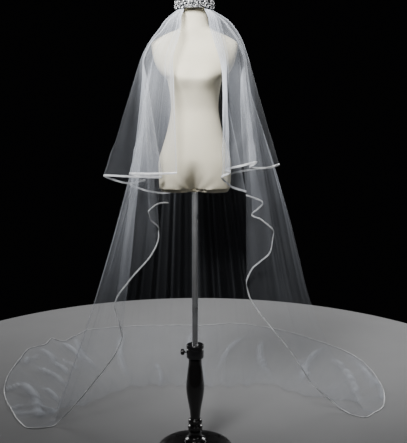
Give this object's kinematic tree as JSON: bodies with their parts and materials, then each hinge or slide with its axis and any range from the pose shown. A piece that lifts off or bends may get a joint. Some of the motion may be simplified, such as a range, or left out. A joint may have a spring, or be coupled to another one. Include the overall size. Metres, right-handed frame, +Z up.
{
  "type": "bridal veil on a dress form stand",
  "caption": "Two-tier tulle bridal veil with ribbon edges, a crystal neck band and a long train, draped open in front on a limbless dress form stand.",
  "frame": {"origin": "centre of the flat underside of the stand's round base, on the floor", "axes": "+Z up; the veil is open towards -Y, its train lies towards +Y; +X is on the right of someone who faces the open front"},
  "size_m": [2.0096, 2.0167, 1.858],
  "materials": {
    "upper_tulle": "sheer nylon net",
    "lower_tulle": "sheer nylon net",
    "upper_satin": "satin ribbon",
    "lower_satin": "satin ribbon",
    "crystals": "faceted foiled stones set close together",
    "cream_jersey": "matt stretch jersey",
    "chrome": "polished",
    "black_socket": "gloss",
    "black_knob": "gloss",
    "black_gloss_wood": "black lacquer",
    "black_base": "satin black"
  },
  "bodies": {
    "root": {"upper_tier": "upper_tulle", "lower_tier": "lower_tulle", "upper_ribbon": "upper_satin", "lower_ribbon": "lower_satin", "crystal_band": "crystals", "dress_form": "cream_jersey", "pole": "chrome", "pole_socket": "black_socket", "height_knob": "black_knob", "column": "black_gloss_wood", "base": "black_base"}
  },
  "joints": []
}
